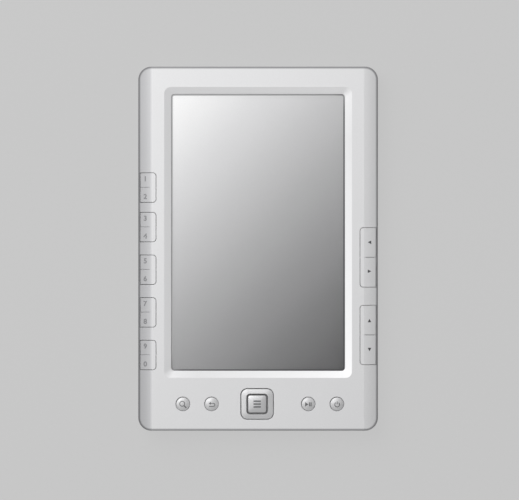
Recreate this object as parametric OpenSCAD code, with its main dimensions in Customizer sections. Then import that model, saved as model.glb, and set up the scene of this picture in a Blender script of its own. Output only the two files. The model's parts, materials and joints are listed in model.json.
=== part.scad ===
// E-reader lying on its back: two moulded shells with a lapped seam, a display module behind a
// bevelled opening, rocking keys down both sides, a button row, and a board with edge sockets.
// Millimetres. The origin is the middle of the flat back, +X is right, +Y is the top edge and +Z is
// out of the screen.

/* [Body] */
// Overall width
body_w = 130.5; // [130:0.5:160]
// Overall height
body_h = 198; // [197:0.5:240]
// Overall thickness
body_t = 11.4; // [11.4:0.1:14]
// Corner radius of the outline
corner_r = 7; // [6:0.5:9]
// Thickness of the side walls
side_wall = 1.6; // [1.5:0.05:1.65]
// Thickness of the front wall
front_wall = 1.2; // [1:0.05:1.25]
// Thickness of the back wall
back_wall = 1.5; // [1.3:0.1:1.5]

/* [Curves and seam] */
// Width of the curve along each long front edge
front_curve_w = 7.6; // [6.5:0.1:8.5]
// Fall of the front curve at the edge
front_curve_drop = 2.2; // [1.6:0.1:2.2]
// Angle at which the front curve leaves the flat
front_crease = 8; // [4:1:9]
// Width of the curve round the back
back_curve_w = 16.4; // [15:0.1:18]
// Height of the back curve at the edge
back_curve_rise = 5; // [4.6:0.1:5.1]
// Corner radius of the flat back
back_corner_r = 12; // [9:0.5:14]
// Depth of the seam below the front
seam_depth = 2.5; // [2.5:0.1:2.8]
// Extra fall of the seam at the long edges
seam_drop = 1.7; // [1.6:0.1:1.9]
// Width of the seam groove
seam_gap = 0.35; // [0.2:0.05:0.5]

/* [Display] */
// Width of the visible opening
window_w = 94.5; // [84:0.5:95]
// Height of the visible opening
window_h = 150.6; // [125:0.5:151]
// Distance from the top edge to the opening
window_down = 14.9; // [14:0.1:15.5]
// Corner radius of the opening
window_r = 1.8; // [1:0.1:3]
// Width of the sloped bevel round the opening
bevel_w = 3.8; // [3:0.1:4.2]
// Depth of the sloped bevel
bevel_depth = 1.3; // [1:0.1:1.4]
// Corner radius at the outer edge of the bevel
bevel_r = 3.5; // [2.5:0.1:5.5]

/* [Side keys] */
// Length of a number key opening
number_len = 16.3; // [14:0.1:17]
// First number key above the middle of the opening
number_up = 24.4; // [22:0.1:26]
// Spacing from the first number key to the second
number_first_pitch = 21.5; // [21:0.1:23]
// Spacing of the other number keys
number_pitch = 23.2; // [22:0.1:24]
// Length of a long key opening
long_len = 32.6; // [28:0.1:34]
// Upper long key below the middle of the opening
long_down = 13.6; // [12:0.1:15]
// Spacing of the long keys
long_pitch = 42.2; // [41:0.1:44]
// Distance from the body edge to the inner end of a side key opening
key_reach = 9.9; // [9.4:0.1:10.2]
// Rim left between the body edge and a side key opening
key_rim = 0.9; // [0.85:0.05:1.1]
// Rocking angle of a number key, each way
number_tilt = 2; // [1:0.1:2]
// Rocking angle of a long key, each way
long_tilt = 1.2; // [0.6:0.1:1.2]

/* [Button row] */
// Distance from the bottom edge to the middle of the row
row_up = 14.5; // [14.4:0.1:15.5]
// Diameter of a round button opening
button_hole_d = 7.9; // [6.5:0.1:9.6]
// Inner left button position across the body
button_left_in = -25.3; // [-26:0.1:-25]
// Inner right button position across the body
button_right_in = 27.3; // [26:0.1:28]
// Spacing of each pair of round buttons
button_pitch = 15.6; // [14.5:0.1:17]
// Travel of a push button
button_travel = 0.3; // [0.2:0.05:0.3]
// Direction ring position across the body
nav_x = -0.5; // [-1:0.1:1]
// Width of the direction ring opening
nav_w = 18.2; // [16.8:0.1:18.6]
// Height of the direction ring opening
nav_h = 17.2; // [16:0.1:17.6]
// Corner radius of the direction ring opening
nav_r = 3.8; // [3:0.1:4.2]
// Width of the middle key
menu_w = 10.7; // [9:0.1:11]
// Height of the middle key
menu_h = 10.2; // [8.6:0.1:10.5]
// Rocking angle of the direction ring, each way
nav_tilt = 1.5; // [0.8:0.1:1.5]

/* [Edge sockets] */
// Position of the data socket across the body
usb_x = -42.8; // [-44:0.1:-41]
// Width of the data socket opening
usb_w = 8.3; // [8:0.1:8.6]
// Height of the data socket opening
usb_h = 4.1; // [4:0.1:4.2]
// Position of the headphone socket across the body
jack_x = -22.3; // [-23:0.1:-22]
// Bore of the headphone socket
jack_d = 3.6; // [3.6:0.02:3.7]
// Position of the card slot across the body
card_x = 6.8; // [5:0.1:8]
// Width of the card slot
card_w = 15.9; // [15.4:0.1:17]
// Position of the reset hole across the body
reset_x = 27.4; // [25:0.1:29]
// Diameter of the reset hole
reset_d = 1.3; // [1:0.1:1.5]
// Position of the slide switch across the body
switch_x = 42.6; // [40:0.1:44]
// Width of the slide switch opening
switch_w = 12.7; // [11.5:0.1:13]
// Height of the slide switch opening
switch_h = 3.3; // [3:0.1:3.4]
// Length of the slide switch knob
knob_w = 8.4; // [6:0.1:8.8]

/* [Clearances] */
// Gap round a side key or a round button
key_gap = 0.25; // [0.2:0.05:0.3]
// Gap round the direction ring and the middle key
nav_gap = 0.3; // [0.25:0.05:0.35]
// Running clearance of a rocking pin in its bore
pin_gap = 0.06; // [0.04:0.01:0.08]
// Clearance of a screw in the hole that it turns in
screw_gap = 0.03; // [0.02:0.01:0.05]
// Gap between a socket and the wall round it
socket_gap = 0.15; // [0.1:0.05:0.2]

/* [Hidden] */
// Smoothness, overshoot of cuts and the thinnest slice of a loft
$fn = 64;
loft_fn = 32;
loft_steps = 8;
over = 1;
sliver = 0.01;

// Outer faces
front_z = body_t;
side_x = body_w / 2;
top_y = body_h / 2;
bottom_y = -body_h / 2;
front_under = front_z - front_wall;

// Curves, seam and lap joint
function arc_radius(w, h, start = 0) = norm([w, h]) / (2 * sin(atan(h / w) - start));
front_r = arc_radius(front_curve_w, front_curve_drop, front_crease);
back_r = arc_radius(back_curve_w, back_curve_rise);
seam_r = arc_radius(front_curve_w, seam_drop, front_crease);
seam_z = front_z - seam_depth;
lap_t = 0.8;
lap_gap = 0.1;
lap_h = 0.6;

// Display module, stacked down from the bevel
window_y = top_y - window_down - window_h / 2;
lip_t = 0.5;
ledge_w = 1;
pane_t = 0.9;
pane_lap = 3;
gasket_t = 0.3;
gasket_w = 1.6;
lcd_t = 3.4;
lcd_edge_w = 4.75;
lcd_edge_h = 5.45;
lcd_sheet = 0.3;
lcd_view = 1;
glass_t = 1.25;
light_t = 1.5;
pane_top = front_z - bevel_depth - lip_t;
pane_z = pane_top - pane_t;
gasket_z = pane_z - gasket_t;
lcd_z = gasket_z - lcd_t;
lcd_w = window_w + 2 * lcd_edge_w;
lcd_h = window_h + 2 * lcd_edge_h;
lcd_bottom = window_y - lcd_h / 2;

// Snap domes and the boards under the keys
dome_r = 1.8;
dome_top_r = 1.2;
dome_h = 0.25;
dome_clear = 0.05;
thin_board = 0.6;

// Side keys, their pins, brackets and boards
key_proud = 0.15;
cap_depth = 2.5;
cap_r = 1.6;
pivot_depth = 3.7;
pivot_r = 0.6;
web_t = 1;
web_in = 3;
ear_in = 1.85;
ear_t = 0.8;
ear_half = 1.5;
ear_up = 1;
groove_w = 0.4;
groove_depth = 0.35;
number_groove = 6.3;
long_groove = 7.6;
plunger_r = 1;
number_plunger = 5;
long_plunger = 9;
plunger_in = 6.2;
cap_z = front_z - cap_depth;
pivot_z = front_z - pivot_depth;
bracket_depth = 4.8;
bracket_t = 0.4;
bracket_z = front_z - bracket_depth;
bracket_rail = 1.25;
bracket_bar = 0.8;
bracket_end = 5.4;
bracket_past = 1.35;
bracket_w = key_reach + bracket_past - ear_in;
side_board_in = 2.8;
side_board_depth = 5.3;
side_board_top = front_z - side_board_depth;
side_board_z = side_board_top - thin_board;
side_board_w = 8.4;
number_count = 5;
number_ys = [for (i = [0 : number_count - 1])
    window_y + number_up - (i > 0 ? number_first_pitch + (i - 1) * number_pitch : 0)];
long_ys = [window_y - long_down, window_y - long_down - long_pitch];
number_posts = [(number_ys[0] + number_ys[1]) / 2, (number_ys[3] + number_ys[4]) / 2];
long_post_up = 3.6;
long_posts = [long_ys[0] + long_len / 2 + long_post_up, (long_ys[0] + long_ys[1]) / 2];
post_in = 6.3;

// Screw posts under the front wall
post_r = 1.7;
small_screw_r = 0.8;
small_head_r = 1.5;
small_head_t = 0.6;
post_bite = 0.6;

// Round buttons
row_y = bottom_y + row_up;
button_xs = [button_left_in - button_pitch, button_left_in, button_right_in,
    button_right_in + button_pitch];
button_r = button_hole_d / 2 - key_gap;
button_crown = 0.3;
button_sag = 0.8;
button_ball = arc_radius(button_r, button_sag);
button_flange = 0.75;
button_flange_t = 0.55;
button_stem_r = 1.5;
hang_gap = 0.05;

// Board under the button row
key_board_depth = 3.4;
key_board_top = front_z - key_board_depth;
key_board_z = key_board_top - thin_board;
key_board_side = 7;
key_board_low = 1.9;
key_board_high = 11;
key_board_drop = 9.7;
nav_board_half = 12;
row_dome_top = key_board_top + dome_h;
key_post_up = 4.6;

// Direction ring, its pad and the middle key
nav_edge_depth = 0.5;
nav_crown = 0.3;
nav_hang = 0.25;
nav_flange = 0.9;
nav_flange_t = 0.4;
nav_land = 0.3;
nav_half = nav_w / 2 - nav_gap + nav_flange;
nav_under = front_under - nav_flange_t - nav_hang - nav_half * sin(nav_tilt);
key_post_x = [(button_xs[0] + button_xs[1]) / 2, (button_left_in + button_hole_d / 2 + nav_x - nav_half) / 2,
    (button_right_in - button_hole_d / 2 + nav_x + nav_half) / 2, (button_xs[2] + button_xs[3]) / 2];
nav_hole_w = menu_w + 2 * nav_gap;
nav_hole_h = menu_h + 2 * nav_gap;
menu_r = 1.5;
menu_ball = 32;
menu_crown = 0.35;
menu_flange = 0.6;
menu_flange_t = 0.4;
menu_flange_z = row_dome_top + button_travel + dome_clear;
pad_depth = 2.9;
pad_t = 0.35;
pad_z = front_z - pad_depth;
pad_margin = 0.5;
pad_hole = 1.1;
pad_r = 3;
ridge_r = 0.35;
ridge_len = 1.5;
ridge_out = 7.15;
cradle_half = 1.1;
cradle_drop = 0.1;
pad_pin_r = 0.35;
pad_pin_up = 0.1;
pad_pin_z = pad_z + pad_pin_up;
lug_out = 10.5;
lug_t = 1;
lug_half = 1.5;
lug_drop = 0.8;
lug_low = pad_pin_z - lug_drop;

// Main board and its standoffs
board_z = 3.6;
board_t = 0.8;
board_top = board_z + board_t;
board_half = 52;
board_in = 7;
board_past = 33.9;
board_end = number_ys[number_count - 1] + board_past;
board_clear = 0.2;
standoff_r = 2.2;
standoff_x = 46;
standoff_up = 19;
standoff_down = 7;
standoff_ys = [bottom_y + standoff_up, board_end - standoff_down];
board_screw_len = 2;
board_head_t = 0.45;

// Sockets and switches of the bottom edge
usb_base_cut = 0.75;
usb_base_rise = 1.6;
usb_z = 4.4;
usb_in = 0.9;
usb_len = 8.2;
usb_skin = 0.3;
usb_tongue_w = 4.6;
usb_tongue_t = 0.9;
usb_tongue_in = 2;
contact_count = 5;
contact_pitch = 0.8;
contact_w = 0.4;
contact_t = 0.15;
contact_lip = 0.6;
usb_block = 2;
usb_slack = 0.05;
usb_tunnel = 5;
jack_z = 5.9;
jack_nose_r = 2.1;
jack_nose_in = 3;
jack_body_in = 5.7;
jack_end_in = 12.4;
jack_body_w = 5;
jack_body_h = 4.4;
card_z = 4.3;
card_h = 1.75;
card_tunnel = 6;
card_in = 3.2;
card_len = 15;
card_shell_w = 13.6;
card_shell_h = 1.5;
card_skin = 0.2;
card_floor = 0.3;
card_rail = 0.9;
card_stop = 1.2;
card_slack = 0.02;
reset_z = 6.65;
reset_stem_r = 0.75;
reset_stem_in = 2.1;
reset_stem_len = 2.6;
reset_bore = 2.4;
reset_body_in = 3.4;
reset_body_len = 4.2;
reset_body_w = 4.4;
reset_low = 5.2;
reset_high = 8;
reset_foot = 1.4;
switch_z = 6.7;
switch_r = 1.3;
switch_tunnel = 3.2;
knob_end_gap = 0.5;
knob_side_gap = 0.3;
knob_in = 0.2;
knob_t = 1.6;
knob_stem_w = 2;
knob_stem_h = 1;
knob_stem_len = 1.8;
stem_gap = 0.1;
switch_body_in = 2.35;
switch_body_len = 4.2;
switch_body_low = 5.6;
switch_body_high = 8.2;
switch_body_cut = 0.8;
switch_foot_in = 5.5;
switch_foot_len = 3;
knob_travel = switch_w - knob_w - 2 * knob_end_gap;
knob_x = switch_x + switch_w / 2 - knob_end_gap - knob_w / 2;

// Battery, its tape and the display rails
battery_w = 84;
battery_t = 3;
battery_r = 1.5;
battery_gap = 4;
battery_top = 19;
battery_h = top_y - battery_top - board_end - battery_gap;
tape_t = 0.1;
tape_w = 12;
tape_edge = 10;
battery_z = back_wall + tape_t;
battery_y = board_end + battery_gap + battery_h / 2;
rail_x = 49;
rail_t = 1.2;
rail_short = 8;
rail_h = battery_h - rail_short;

// Leads, chips, connectors and ribbons
lead_r = 0.2;
lead_pitch = 1.2;
lead_x = 24;
lead_z = 4.3;
lead_rise = 0.2;
lead_notch_w = 7;
lead_notch = 4;
chip_w = 14;
chip_t = 1.2;
chip_x = -14;
chip_down = 24;
memory_w = 9;
memory_h = 12;
memory_x = [4, 18];
coil_w = 4;
coil_x = [30, 36, 42];
coil_t = 1.6;
low_conn_t = 0.5;
conn_t = 0.9;
conn_h = 3.4;
lcd_conn_w = 28;
lcd_conn_x = -24;
lcd_conn_down = 8;
key_conn_w = 10;
key_conn_up = 2.5;
key_conn_y = row_y + key_conn_up;
side_conn_w = 7;
side_conn_x = 49.2;
side_conn_t = 3.4;
side_conn_down = 2;
side_conn_y = number_ys[number_count - 1] - side_conn_down;
lead_conn_h = 4;
flex_t = 0.15;
flex_edge = 1;
flex_out = 2.6;
flex_side = 0.2;
key_conn_x = key_post_x[2] + small_head_r + flex_side + key_conn_w / 2 - flex_edge;

// Case screws
case_screw_in = 7.75;
case_top_down = 10;
case_mid_up = 10.65;
case_low_up = 9;
case_screw_ys = [top_y - case_top_down, number_ys[0] + number_len / 2 + case_mid_up,
    bottom_y + case_low_up];
case_boss_r = 2.6;
case_pillar_r = 3;
case_split_depth = 4.4;
case_split = front_z - case_split_depth;
case_screw_r = 1;
case_hole_gap = 0.15;
case_head_r = 1.95;
case_head_t = 1.4;
case_seat = 5;
case_seat_gap = 0.2;
case_grip = 2.6;
case_pilot = 2.8;
drive_r = 0.8;
drive_depth = 0.6;
small_drive_r = 0.6;
small_drive_depth = 0.3;

// Colours
silver = [0.84, 0.85, 0.86];
key_silver = [0.80, 0.81, 0.82];
steel = [0.70, 0.71, 0.73];
board_green = [0.10, 0.32, 0.20];
black = [0.08, 0.08, 0.09];
amber = [0.75, 0.45, 0.12];
gold = [0.85, 0.68, 0.32];
white = [0.92, 0.92, 0.90];
pane_grey = [0.62, 0.63, 0.64];

// Flat rounded rectangle about its middle
module rounded_rect(w, h, r) {
    square([w - 2 * r, h], center = true);
    square([w, h - 2 * r], center = true);
    for (sx = [-1, 1], sy = [-1, 1])
        translate([sx * (w / 2 - r), sy * (h / 2 - r)])
            circle(r);
}

// Upright rounded plate about its middle, from z0 to z1
module rounded_plate(w, h, r, z0, z1) {
    translate([0, 0, z0])
        linear_extrude(z1 - z0)
            rounded_rect(w, h, r);
}

// Upright block given by its middle and its two heights
module block(x, y, w, h, z0, z1) {
    translate([x - w / 2, y - h / 2, z0])
        cube([w, h, z1 - z0]);
}

// Round bar along +X
module bar_x(x, y, z, r, len) {
    translate([x, y, z])
        rotate([0, 90, 0])
            cylinder(r = r, h = len);
}

// Round bar along +Y
module bar_y(x, y, z, r, len) {
    translate([x, y, z])
        rotate([-90, 0, 0])
            cylinder(r = r, h = len);
}

// Flat shape in X and Z carried along +Y from y
module along_y(x, y, z, len) {
    translate([x, y + len, z])
        rotate([90, 0, 0])
            linear_extrude(len)
                children();
}

// Flat shape in Y and Z carried along +X about the middle x
module along_x(x, len) {
    translate([x - len / 2, 0, 0])
        rotate([90, 0, 90])
            linear_extrude(len)
                children();
}

// What lies outside a lengthwise round of radius r that leaves the level z at the crease, w in from the left
module left_round_waste(w, r, z) {
    difference() {
        block(-side_x + (w - over) / 2, 0, w + over, body_h + 2 * over, z - r / 2, z + 2 * over);
        bar_y(-side_x + w + r * sin(front_crease), bottom_y - 2 * over, z - r * cos(front_crease), r,
            body_h + 4 * over);
    }
}

module both_round_waste(w, r, z) {
    left_round_waste(w, r, z);
    mirror([1, 0, 0])
        left_round_waste(w, r, z);
}

// Room below the curved seam, raised by lift
module below_seam(lift) {
    difference() {
        block(0, 0, body_w + over, body_h + over, -over, seam_z + lift);
        both_round_waste(front_curve_w, seam_r, seam_z + lift);
    }
}

// Back form: rounded outlines that grow along the edge arc, then run straight up
module back_form(wall, skin, top) {
    r = back_r - skin;
    sweep = asin((back_curve_w - wall) / r);
    hull() {
        for (i = [0 : loft_steps]) {
            inset = back_curve_w - r * sin(sweep * i / loft_steps);
            z = back_r - r * cos(sweep * i / loft_steps);
            cr = corner_r - wall + (back_corner_r - corner_r) * (inset - wall) / back_curve_w;
            for (sx = [-1, 1], sy = [-1, 1])
                translate([sx * (side_x - inset - cr), sy * (top_y - inset - cr), z])
                    cylinder(r = cr, h = i == loft_steps ? top - z : sliver, $fn = loft_fn);
        }
    }
}

// Places for the case screws
module at_case_screws() {
    for (s = [-1, 1], y = case_screw_ys)
        translate([s * (side_x - case_screw_in), y, 0])
            children();
}

// Places for the screws of the two key brackets
module at_bracket_screws() {
    for (y = number_posts)
        translate([-side_x + post_in, y, 0])
            children();
    for (y = long_posts)
        translate([side_x - post_in, y, 0])
            children();
}

module at_key_board_screws() {
    for (x = key_post_x)
        translate([x, row_y + key_post_up, 0])
            children();
}

module at_board_screws() {
    for (s = [-1, 1], y = standoff_ys)
        translate([s * standoff_x, y, 0])
            children();
}

// Plan of a side key opening on the left edge, shrunk by gap: round inner corners, square outer ones
module side_plan(y, len, gap, r, z0, z1) {
    w = key_reach - key_rim - 2 * gap;
    translate([-side_x + key_rim + gap + w / 2, y, 0]) {
        rounded_plate(w, len - 2 * gap, r, z0, z1);
        block(-r, 0, w - 2 * r, len - 2 * gap, z0, z1);
    }
}

// Sloped opening over the display
module window_cut() {
    translate([0, window_y, 0]) {
        rounded_plate(window_w, window_h, window_r, pane_top - over, front_z + over);
        hull() {
            for (sx = [-1, 1], sy = [-1, 1]) {
                translate([sx * (window_w / 2 - window_r), sy * (window_h / 2 - window_r),
                        front_z - bevel_depth])
                    cylinder(r = window_r, h = sliver, $fn = loft_fn);
                translate([sx * (window_w / 2 + bevel_w - bevel_r), sy * (window_h / 2 + bevel_w - bevel_r),
                        front_z])
                    cylinder(r = bevel_r, h = sliver, $fn = loft_fn);
            }
        }
    }
}

// Front shell: curved long edges, display bevel, key openings, bosses and posts
module front_cover() {
    inner_w = body_w - 2 * side_wall;
    inner_h = body_h - 2 * side_wall;
    color(silver)
    difference() {
        union() {
            difference() {
                rounded_plate(body_w, body_h, corner_r, seam_z - seam_drop - over, front_z);
                both_round_waste(front_curve_w, front_r, front_z);
                below_seam(0);
                difference() {
                    rounded_plate(inner_w, inner_h, corner_r - side_wall, 0, front_under);
                    both_round_waste(front_curve_w, front_r - front_wall, front_under);
                }
                intersection() {
                    rounded_plate(body_w - 2 * lap_t, body_h - 2 * lap_t, corner_r - lap_t, 0, front_z);
                    below_seam(lap_h + lap_gap);
                }
            }
            block(0, window_y, window_w + 2 * (bevel_w + ledge_w), window_h + 2 * (bevel_w + ledge_w),
                pane_top, front_under + post_bite);
            at_case_screws()
                translate([0, 0, case_split])
                    cylinder(r = case_boss_r, h = front_under + post_bite - case_split);
            at_bracket_screws()
                translate([0, 0, bracket_z + bracket_t])
                    cylinder(r = post_r, h = front_under + post_bite - bracket_z - bracket_t);
            at_key_board_screws()
                translate([0, 0, key_board_top])
                    cylinder(r = post_r, h = front_under + post_bite - key_board_top);
            for (s = [-1, 1])
                block(nav_x + s * (lug_out + lug_t / 2), row_y, lug_t, 2 * lug_half, lug_low,
                    front_under + post_bite);
        }
        window_cut();
        for (y = number_ys)
            side_plan(y, number_len, 0, cap_r + key_gap, bracket_z, front_z + over);
        mirror([1, 0, 0])
            for (y = long_ys)
                side_plan(y, long_len, 0, cap_r + key_gap, bracket_z, front_z + over);
        for (x = button_xs)
            translate([x, row_y, pane_top])
                cylinder(d = button_hole_d, h = front_z);
        translate([nav_x, row_y, 0])
            rounded_plate(nav_w, nav_h, nav_r, pane_top, front_z + over);
        bar_x(nav_x - lug_out - 2 * lug_t, row_y, pad_pin_z, pad_pin_r + pin_gap,
            2 * (lug_out + 2 * lug_t));
        at_case_screws()
            translate([0, 0, case_split - over])
                cylinder(r = case_screw_r + screw_gap, h = case_pilot + over);
        at_bracket_screws()
            translate([0, 0, bracket_z])
                cylinder(r = small_screw_r + screw_gap, h = front_under - bracket_z);
        at_key_board_screws()
            translate([0, 0, key_board_z])
                cylinder(r = small_screw_r + screw_gap, h = front_under - key_board_z);
    }
}

// Outline of the data socket, drawn in by inset, with its lower corners cut off
module usb_outline(inset) {
    w = usb_w / 2 - inset;
    low = usb_w / 2 - usb_base_cut - inset;
    polygon([[-w, usb_h - inset], [-w, usb_base_rise], [-low, inset], [low, inset],
        [w, usb_base_rise], [w, usb_h - inset]]);
}

// Back shell: lofted back, lap joint, screw pillars, board standoffs, display rails and socket openings
module back_cover() {
    color(silver)
    difference() {
        union() {
            difference() {
                union() {
                    intersection() {
                        back_form(0, 0, front_z);
                        below_seam(-seam_gap);
                    }
                    intersection() {
                        rounded_plate(body_w - 2 * (lap_t + lap_gap), body_h - 2 * (lap_t + lap_gap),
                            corner_r - lap_t - lap_gap, back_curve_rise + over / 2, front_z);
                        below_seam(lap_h);
                    }
                }
                back_form(side_wall, back_wall, front_z + over);
            }
            intersection() {
                back_form(side_wall / 2, back_wall / 2, front_z);
                union() {
                    at_case_screws()
                        cylinder(r = case_pillar_r, h = case_split);
                    at_board_screws()
                        cylinder(r = standoff_r, h = board_z);
                    for (s = [-1, 1])
                        block(s * (rail_x + rail_t / 2), battery_y, rail_t, rail_h, 0, lcd_z);
                }
            }
        }
        at_case_screws() {
            translate([0, 0, -over])
                cylinder(r = case_head_r + case_seat_gap, h = case_seat + over);
            cylinder(r = case_screw_r + case_hole_gap, h = front_z);
        }
        at_board_screws()
            translate([0, 0, board_top - board_t - board_screw_len + sliver])
                cylinder(r = small_screw_r + screw_gap, h = board_t + board_screw_len);
        along_y(usb_x, bottom_y - over, usb_z, usb_tunnel + over)
            usb_outline(0);
        bar_y(jack_x, bottom_y - over, jack_z, jack_d / 2, jack_nose_in + 2 * over);
        bar_y(jack_x, bottom_y + jack_nose_in - socket_gap, jack_z, jack_nose_r + socket_gap,
            jack_body_in - jack_nose_in + over);
        along_y(card_x, bottom_y - over, card_z, card_tunnel + over)
            rounded_rect(card_w, card_h, card_h / 2 - sliver);
        bar_y(reset_x, bottom_y - over, reset_z, reset_d / 2, side_wall + 2 * over);
        along_y(switch_x, bottom_y - over, switch_z, switch_tunnel + over)
            rounded_rect(switch_w, switch_h, switch_r);
    }
}

// Clear panel glued under the opening
module display_window() {
    color(pane_grey)
    translate([0, window_y, 0])
        rounded_plate(window_w + 2 * pane_lap, window_h + 2 * pane_lap, window_r, pane_z, pane_top);
}

// Foam frame between the panel and the display
module display_gasket() {
    color(black)
    translate([0, window_y, 0])
        difference() {
            rounded_plate(window_w + 2 * pane_lap, window_h + 2 * pane_lap, window_r, gasket_z, pane_z);
            block(0, 0, window_w + 2 * (pane_lap - gasket_w), window_h + 2 * (pane_lap - gasket_w),
                gasket_z - over, pane_z + over);
        }
}

// Folded steel tray of the display
module lcd_frame() {
    color(steel)
    translate([0, window_y, 0])
        difference() {
            block(0, 0, lcd_w, lcd_h, lcd_z, gasket_z);
            block(0, 0, lcd_w - 2 * lcd_sheet, lcd_h - 2 * lcd_sheet, lcd_z + lcd_sheet,
                gasket_z - lcd_sheet);
            block(0, 0, window_w + 2 * lcd_view, window_h + 2 * lcd_view, gasket_z - over,
                gasket_z + over);
        }
}

module lcd_glass() {
    color(black)
    translate([0, window_y, 0])
        block(0, 0, lcd_w - 4 * lcd_sheet, lcd_h - 4 * lcd_sheet, gasket_z - lcd_sheet - glass_t,
            gasket_z - lcd_sheet);
}

module backlight() {
    color(white)
    translate([0, window_y, 0])
        block(0, 0, lcd_w - 4 * lcd_sheet, lcd_h - 4 * lcd_sheet, lcd_z + lcd_sheet,
            lcd_z + lcd_sheet + light_t);
}

// Ribbon from the lower end of the display to the board
module lcd_flex() {
    y0 = lcd_bottom;
    y1 = lcd_bottom - flex_out;
    y2 = lcd_bottom - lcd_conn_down + conn_h / 2;
    z0 = lcd_z + lcd_sheet + conn_t;
    z1 = board_top + conn_t / 2;
    color(amber)
    along_x(lcd_conn_x, lcd_conn_w - 2 * flex_edge)
        polygon([[y0, z0], [y1, z0], [y2, z1], [y2, z1 + flex_t], [y1, z0 + flex_t], [y0, z0 + flex_t]]);
}

// Main board along the lower end, notched for the sunk sockets and the battery leads
module main_board() {
    low = bottom_y + board_in;
    color(board_green)
    difference() {
        block(0, (low + board_end) / 2, 2 * board_half, board_end - low, board_z, board_top);
        block(jack_x, low, jack_body_w + 2 * board_clear, 2 * (jack_end_in - board_in + board_clear),
            board_z - over, board_top + over);
        block(card_x, low, card_shell_w + 2 * board_clear, 2 * (card_in + card_len - board_in + board_clear),
            board_z - over, board_top + over);
        block(lead_x, board_end, lead_notch_w, 2 * lead_notch, board_z - over, board_top + over);
        at_board_screws()
            translate([0, 0, board_z - over])
                cylinder(r = small_screw_r + case_hole_gap, h = board_t + 2 * over);
    }
}

module processor() {
    color(black)
    block(chip_x, board_end - chip_down, chip_w, chip_w, board_z - chip_t, board_z);
}

module memory_chips() {
    color(black)
    for (x = memory_x)
        block(x, board_end - chip_down, memory_w, memory_h, board_z - chip_t, board_z);
}

module power_parts() {
    color(steel)
    for (x = coil_x)
        block(x, board_end - chip_down, coil_w, coil_w, board_z - coil_t, board_z);
}

// Ribbon and lead sockets on the front of the board
module board_connectors() {
    color(white) {
        block(lcd_conn_x, lcd_bottom - lcd_conn_down, lcd_conn_w, conn_h, board_top, board_top + conn_t / 2);
        block(key_conn_x, key_conn_y, key_conn_w, conn_h, board_top, board_top + conn_t / 2);
        for (s = [-1, 1])
            block(s * side_conn_x, side_conn_y, side_conn_t, side_conn_w, board_top,
                board_top + low_conn_t / 2);
        block(lead_x, board_end - lead_notch - lead_conn_h / 2, lead_notch_w, lead_conn_h, board_top,
            board_top + low_conn_t);
    }
}

// Screw with a round head below z and its shank above, or the other way up
module small_screw(z, len, head) {
    difference() {
        union() {
            translate([0, 0, z - head])
                cylinder(r = small_head_r, h = head);
            translate([0, 0, z - sliver])
                cylinder(r = small_screw_r, h = len + sliver);
        }
        translate([0, 0, z - head - over])
            cylinder(r = small_drive_r, h = over + small_drive_depth, $fn = 6);
    }
}

module board_screws() {
    color(steel)
    at_board_screws()
        translate([0, 0, board_top])
            mirror([0, 0, 1])
                small_screw(0, board_t + board_screw_len - 2 * dome_clear, board_head_t);
}

module key_board_screws() {
    color(steel)
    at_key_board_screws()
        small_screw(key_board_z, thin_board + front_under - key_board_top - 2 * dome_clear, small_head_t);
}

module bracket_screws() {
    color(steel)
    at_bracket_screws()
        small_screw(side_board_z, front_under - side_board_z - 2 * dome_clear, small_head_t);
}

// Case screws with six-sided drives, driven in from the back
module case_screws() {
    color(steel)
    at_case_screws()
        difference() {
            union() {
                translate([0, 0, case_seat - case_head_t])
                    cylinder(r = case_head_r, h = case_head_t);
                translate([0, 0, case_seat - sliver])
                    cylinder(r = case_screw_r, h = case_split - case_seat + case_grip);
            }
            translate([0, 0, case_seat - case_head_t - over])
                cylinder(r = drive_r, h = over + drive_depth, $fn = 6);
        }
}

module battery() {
    color(steel)
    translate([0, battery_y, 0])
        rounded_plate(battery_w, battery_h, battery_r, battery_z, battery_z + battery_t);
}

module battery_tape() {
    color(white)
    for (s = [-1, 1])
        block(s * (battery_w / 2 - tape_edge), battery_y, tape_w, battery_h - tape_w, back_wall, battery_z);
}

module battery_leads() {
    y0 = battery_y - battery_h / 2;
    len = battery_gap + lead_notch;
    color(black)
    for (i = [-1, 0, 1])
        translate([lead_x + i * lead_pitch, y0, lead_z])
            rotate([90 - atan(lead_rise / len), 0, 0])
                cylinder(r = lead_r, h = len);
}

// Folded steel mouth of the data socket
module usb_shell() {
    color(steel)
    difference() {
        along_y(usb_x, bottom_y + usb_in, usb_z, usb_len)
            usb_outline(socket_gap);
        along_y(usb_x, bottom_y + usb_in - over, usb_z, usb_len + 2 * over)
            usb_outline(socket_gap + usb_skin);
    }
}

// Contact tongue and rear block inside the data socket
module usb_tongue() {
    end = usb_in + usb_len;
    mid = usb_z + usb_h / 2;
    color(black)
    union() {
        along_y(usb_x, bottom_y + end - usb_block, usb_z, usb_block)
            usb_outline(socket_gap + usb_skin + usb_slack);
        block(usb_x, bottom_y + (usb_in + usb_tongue_in + end - usb_block / 2) / 2, usb_tongue_w,
            end - usb_block / 2 - usb_in - usb_tongue_in, mid - usb_tongue_t / 2, mid + usb_tongue_t / 2);
    }
}

// Bent contact strips under the tongue, turned up over its tip
module usb_contacts() {
    tip = bottom_y + usb_in + usb_tongue_in;
    end = bottom_y + usb_in + usb_len - usb_block;
    under = usb_z + usb_h / 2 - usb_tongue_t / 2;
    color(gold)
    for (i = [0 : contact_count - 1])
        along_x(usb_x + (i - (contact_count - 1) / 2) * contact_pitch, contact_w)
            polygon([[tip - contact_t, under - contact_t], [end, under - contact_t], [end, under],
                [tip, under], [tip, under + contact_lip], [tip - contact_t, under + contact_lip]]);
}

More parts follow.
